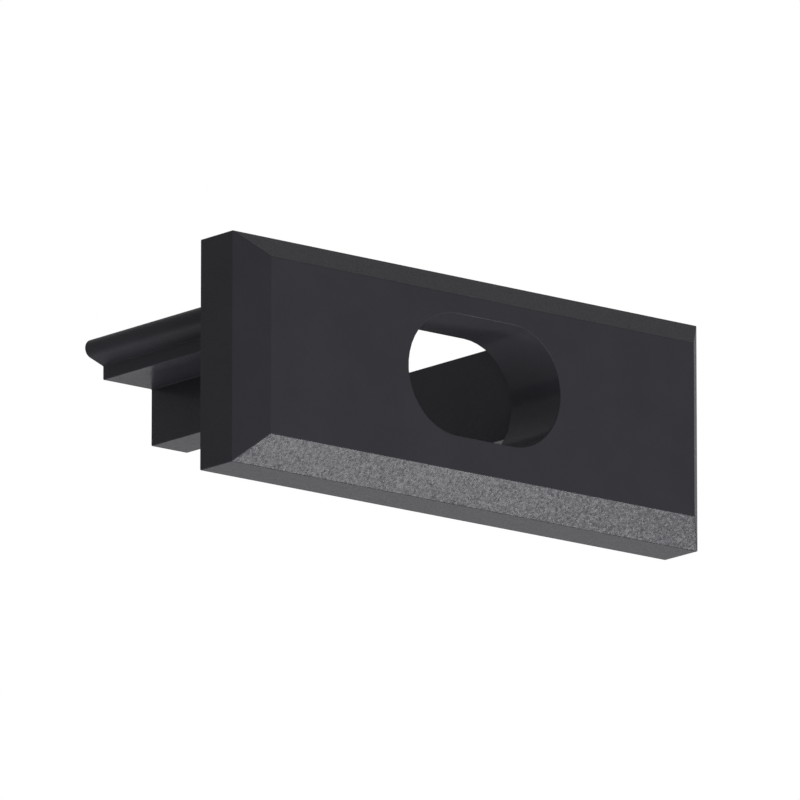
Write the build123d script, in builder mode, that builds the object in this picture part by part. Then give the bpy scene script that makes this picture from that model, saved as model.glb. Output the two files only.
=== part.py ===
"""Profile end cap: a bevelled plate with a cable hole and two snap-in prongs, moulded in one piece."""
import os

from build123d import *

# Plate, which covers the profile's cut end
plate_length = 15.5
plate_height = 6.0
plate_thickness = 1.95
front_bevel = 0.7

# Cable hole, an oblong with round ends; its centre stands above the plate's lower edge
hole_width = 5.05
hole_height = 3.2
hole_centre_height = 3.2

# Prongs, a mirrored pair that slides into the profile; each is a flange with a leg under its inner edge
prong_length = 6.8
prong_top_height = 5.0
width_over_flanges = 10.9
flange_thickness = 1.0
leg_thickness = 1.2
leg_drop = 1.5
prong_to_hole = 0.125

# Snap bead along each flange's outer edge
bead_radius = 0.25
bead_overhang = 0.6
bead_underside_angle = 20.0

# Small radii that the mould leaves on outer edges and round the hole's mouth
edge_radius = 0.03
hole_edge_radius = 0.02

# The plate's back lies in the plane Y = 0, and the middle of its lower edge is the origin
seat = Plane.XZ

prong_inside = hole_width / 2 + prong_to_hole
leg_outside = prong_inside + leg_thickness
flange_outside = width_over_flanges / 2
flange_underside = prong_top_height - flange_thickness
leg_foot = flange_underside - leg_drop
bead_centre = (flange_outside + bead_overhang - bead_radius, prong_top_height - bead_radius)
bead_sweep = 180 - bead_underside_angle

with BuildPart() as end_cap:
    # Plate, bevelled all round its front; only the edges that meet the profile stay sharp
    with BuildSketch(seat):
        Rectangle(plate_length, plate_height, align=(Align.CENTER, Align.MIN))
    extrude(amount=plate_thickness)
    chamfer(end_cap.faces().sort_by(Axis.Y)[0].edges(), front_bevel)
    seat_edges = end_cap.faces().sort_by(Axis.Y)[-1].edges()
    fillet(end_cap.edges() - seat_edges, edge_radius)

    # Cable hole through the plate
    with BuildSketch(seat):
        with Locations((0, hole_centre_height)):
            SlotOverall(hole_width, hole_height)
    extrude(amount=plate_thickness, mode=Mode.SUBTRACT)
    fillet(end_cap.edges(Select.LAST).group_by(Axis.Y)[0], hole_edge_radius)

    # Section of one prong, whose bead runs on a tangent into a slanted underside, and its mirror image
    with BuildSketch(seat) as prong_sections:
        with BuildLine():
            bead = CenterArc(bead_centre, bead_radius, 90, -bead_sweep)
            slant = PolarLine(
                bead @ 1,
                (bead @ 1).X - flange_outside,
                direction=bead % 1,
                length_mode=LengthMode.HORIZONTAL,
            )
            Polyline(
                slant @ 1,
                (flange_outside, flange_underside),
                (leg_outside, flange_underside),
                (leg_outside, leg_foot),
                (prong_inside, leg_foot),
                (prong_inside, prong_top_height),
                bead @ 0,
            )
        make_face()
        corners = prong_sections.vertices().filter_by_position(Axis.X, 0, flange_outside)
        fillet(corners, edge_radius)
        mirror(about=Plane.YZ)
    extrude(amount=-prong_length)

end_cap.part.label = "end_cap"

os.makedirs("parts", exist_ok=True)
export_step(end_cap.part, "parts/end_cap.step")
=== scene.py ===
"""Looks of a profile end cap: fine-grained black moulded plastic, a pale studio and the photograph's view."""
from math import cos, radians, sin

import bpy
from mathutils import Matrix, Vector


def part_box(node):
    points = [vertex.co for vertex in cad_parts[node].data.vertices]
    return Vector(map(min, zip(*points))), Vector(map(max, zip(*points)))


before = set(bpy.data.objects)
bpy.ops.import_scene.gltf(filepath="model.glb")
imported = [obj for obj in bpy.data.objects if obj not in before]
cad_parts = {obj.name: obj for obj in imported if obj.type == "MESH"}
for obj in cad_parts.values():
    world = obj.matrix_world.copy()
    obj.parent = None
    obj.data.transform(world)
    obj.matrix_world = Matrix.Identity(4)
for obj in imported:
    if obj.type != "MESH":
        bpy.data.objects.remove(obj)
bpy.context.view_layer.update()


# End cap: bevelled plate with a cable hole and two snap-in prongs, injection moulded in one shot
# from black plastic. The mould was spark eroded, so every face carries the same fine grain, which
# glitters on the lower bevel, where the light comes back towards the viewer.
end_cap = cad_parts["end_cap"]
cap_low, cap_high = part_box("end_cap")

plastic_dark = (0.019, 0.019, 0.0235, 1)
plastic_light = (0.025, 0.025, 0.0305, 1)
plastic_sheen = 0.039
skin_gloss = 0.10
skin_roughness = 0.20
grain_size = 0.000052
grain_tilt = 0.043
speckle_size = 0.00003
speckle_detail = 1
speckle_span = (0.3, 0.7)
roughness_range = (0.50, 0.70)
cloud_size = 0.0012
cloud_detail = 3

black_plastic = bpy.data.materials.new("fine-grained black plastic")
black_plastic.use_nodes = True
nodes = black_plastic.node_tree.nodes
links = black_plastic.node_tree.links
surface = nodes["Principled BSDF"]
surface.inputs["Specular IOR Level"].default_value = plastic_sheen
surface.inputs["Coat Weight"].default_value = skin_gloss
surface.inputs["Coat Roughness"].default_value = skin_roughness
place = nodes.new("ShaderNodeTexCoord").outputs["Object"]

# Spark-eroded grain: each tiny facet leans its own way, by up to half the tilt along each axis
grain = nodes.new("ShaderNodeTexVoronoi")
grain.inputs["Scale"].default_value = 1 / grain_size
links.new(place, grain.inputs["Vector"])
lean = nodes.new("ShaderNodeVectorMath")
lean.operation = "MULTIPLY_ADD"
lean.inputs[1].default_value = (grain_tilt, grain_tilt, grain_tilt)
lean.inputs[2].default_value = (-grain_tilt / 2, -grain_tilt / 2, -grain_tilt / 2)
links.new(grain.outputs["Color"], lean.inputs[0])
face = nodes.new("ShaderNodeNewGeometry")
facet = nodes.new("ShaderNodeVectorMath")
facet.operation = "ADD"
links.new(face.outputs["Normal"], facet.inputs[0])
links.new(lean.outputs["Vector"], facet.inputs[1])
facet_normal = nodes.new("ShaderNodeVectorMath")
facet_normal.operation = "NORMALIZE"
links.new(facet.outputs["Vector"], facet_normal.inputs[0])
links.new(facet_normal.outputs["Vector"], surface.inputs["Normal"])
links.new(facet_normal.outputs["Vector"], surface.inputs["Coat Normal"])

# Some grains are polished, others dull; the noise seldom leaves the span
speckle = nodes.new("ShaderNodeTexNoise")
speckle.inputs["Scale"].default_value = 1 / speckle_size
speckle.inputs["Detail"].default_value = speckle_detail
links.new(place, speckle.inputs["Vector"])
polish = nodes.new("ShaderNodeMapRange")
polish.inputs["From Min"].default_value = speckle_span[0]
polish.inputs["From Max"].default_value = speckle_span[1]
polish.inputs["To Min"].default_value = roughness_range[0]
polish.inputs["To Max"].default_value = roughness_range[1]
links.new(speckle.outputs["Fac"], polish.inputs["Value"])
links.new(polish.outputs["Result"], surface.inputs["Roughness"])

# Faint clouds in the colour, as the melt leaves them
clouds = nodes.new("ShaderNodeTexNoise")
clouds.inputs["Scale"].default_value = 1 / cloud_size
clouds.inputs["Detail"].default_value = cloud_detail
links.new(place, clouds.inputs["Vector"])
colour = nodes.new("ShaderNodeMix")
colour.data_type = "RGBA"
colour.inputs["A"].default_value = plastic_dark
colour.inputs["B"].default_value = plastic_light
links.new(clouds.outputs["Fac"], colour.inputs["Factor"])
links.new(colour.outputs["Result"], surface.inputs["Base Color"])

for material_slot in end_cap.material_slots:
    material_slot.material = black_plastic


# Studio floor: a pale matt board that lies well below the cap, because the photograph looks up at it.
# It shows white, and the cap's shadow on it stays.
floor_depth = 0.38
floor_half = 1.2
floor_grey = 0.8
floor_glow = 0.6


def glow_where_seen(tree, seen, unseen):
    """Mixes two shaders: one that the camera sees, also in gloss or through glass, and one for the rest."""
    path = tree.nodes.new("ShaderNodeLightPath")
    straight_or_gloss = tree.nodes.new("ShaderNodeMath")
    straight_or_gloss.operation = "MAXIMUM"
    tree.links.new(path.outputs["Is Camera Ray"], straight_or_gloss.inputs[0])
    tree.links.new(path.outputs["Is Glossy Ray"], straight_or_gloss.inputs[1])
    or_glass = tree.nodes.new("ShaderNodeMath")
    or_glass.operation = "MAXIMUM"
    tree.links.new(straight_or_gloss.outputs["Value"], or_glass.inputs[0])
    tree.links.new(path.outputs["Is Transmission Ray"], or_glass.inputs[1])
    choice = tree.nodes.new("ShaderNodeMixShader")
    tree.links.new(or_glass.outputs["Value"], choice.inputs["Fac"])
    tree.links.new(unseen, choice.inputs[1])
    tree.links.new(seen, choice.inputs[2])
    return choice.outputs["Shader"]


floor_mesh = bpy.data.meshes.new("floor")
floor_mesh.from_pydata(
    [(x, y, -floor_depth) for x, y in (
        (-floor_half, -floor_half),
        (floor_half, -floor_half),
        (floor_half, floor_half),
        (-floor_half, floor_half),
    )],
    [],
    [(0, 1, 2, 3)],
)
floor = bpy.data.objects.new("floor", floor_mesh)
bpy.context.collection.objects.link(floor)

board = bpy.data.materials.new("pale board")
board.use_nodes = True
tree = board.node_tree
tree.nodes.remove(tree.nodes["Principled BSDF"])
matt = tree.nodes.new("ShaderNodeBsdfDiffuse")
matt.inputs["Color"].default_value = (floor_grey, floor_grey, floor_grey, 1)
glow = tree.nodes.new("ShaderNodeEmission")
glow.inputs["Strength"].default_value = floor_glow
matt_and_glow = tree.nodes.new("ShaderNodeAddShader")
tree.links.new(matt.outputs["BSDF"], matt_and_glow.inputs[0])
tree.links.new(glow.outputs["Emission"], matt_and_glow.inputs[1])
shown = glow_where_seen(tree, matt_and_glow.outputs["Shader"], matt.outputs["BSDF"])
tree.links.new(shown, tree.nodes["Material Output"].inputs["Surface"])
floor_mesh.materials.append(board)


# Studio air: white wherever it is seen, and a plain grey where it only gives light.
air_light = 0.27
white_light = 1
white_colour = (1, 1, 1, 1)

studio = bpy.data.worlds.new("studio")
studio.use_nodes = True
tree = studio.node_tree
dim = tree.nodes["Background"]
dim.inputs["Color"].default_value = white_colour
dim.inputs["Strength"].default_value = air_light
white = tree.nodes.new("ShaderNodeBackground")
white.inputs["Color"].default_value = white_colour
white.inputs["Strength"].default_value = white_light
shown = glow_where_seen(tree, white.outputs["Background"], dim.outputs["Background"])
tree.links.new(shown, tree.nodes["World Output"].inputs["Surface"])
bpy.context.scene.world = studio


# Lamps: square soft boxes, out of the camera's sight. Two light the plate from the front and from below,
# a weak one its left, and a large one the back. A small one below on the right makes the lower bevel
# glitter, and the smallest, low behind the cap, shines on its undersides.
cap_centre = (cap_low + cap_high) / 2


def soft_box(name, direction, distance, side, watts):
    """A square area lamp that looks at the cap from a direction."""
    lamp = bpy.data.lights.new(name, "AREA")
    lamp.shape = "SQUARE"
    lamp.size = side
    lamp.energy = watts
    holder = bpy.data.objects.new(name, lamp)
    bpy.context.collection.objects.link(holder)
    holder.location = cap_centre + Vector(direction).normalized() * distance
    holder.rotation_euler = (-Vector(direction)).to_track_quat("-Z", "Y").to_euler()
    holder.visible_camera = False
    return holder


soft_box("front soft box", (-0.2, -0.8, -0.55), distance=0.2, side=0.12, watts=0.285)
soft_box("floor soft box", (0, -0.5, -0.85), distance=0.2, side=0.12, watts=0.17)
soft_box("left soft box", (-0.7, -0.7, 0.1), distance=0.25, side=0.15, watts=0.053)
soft_box("glitter soft box", (0.597, -0.325, -0.734), distance=0.25, side=0.04, watts=0.32)
soft_box("rear soft box", (0.622, 0.746, -0.239), distance=0.16, side=0.03, watts=0.0038)
back_box = soft_box("back soft box", (0.55, 0.75, 0.45), distance=0.25, side=0.2, watts=1.1)
# It gives no gloss, because the hole's wall would mirror it
back_box.visible_glossy = False


# Camera: a long lens, level with the photograph's view, which looks up at the plate from the left.
camera_azimuth = radians(-39.85)
camera_elevation = radians(-13.81)
camera_distance = 0.370
view_width = 0.020067
# The middle of the picture, seen from the plate's lower left front corner
centre_right = 0.003783
centre_up = 0.001411

backwards = Vector((
    sin(camera_azimuth) * cos(camera_elevation),
    -cos(camera_azimuth) * cos(camera_elevation),
    sin(camera_elevation),
))
rightwards = Vector((cos(camera_azimuth), sin(camera_azimuth), 0))
upwards = backwards.cross(rightwards)
picture_centre = cap_low + rightwards * centre_right + upwards * centre_up

lens = bpy.data.cameras.new("camera")
lens.lens = lens.sensor_width * camera_distance / view_width
camera = bpy.data.objects.new("camera", lens)
bpy.context.collection.objects.link(camera)
camera.location = picture_centre + backwards * camera_distance
camera.rotation_euler = (-backwards).to_track_quat("-Z", "Y").to_euler()
bpy.context.scene.camera = camera
bpy.context.scene.view_settings.view_transform = "Standard"
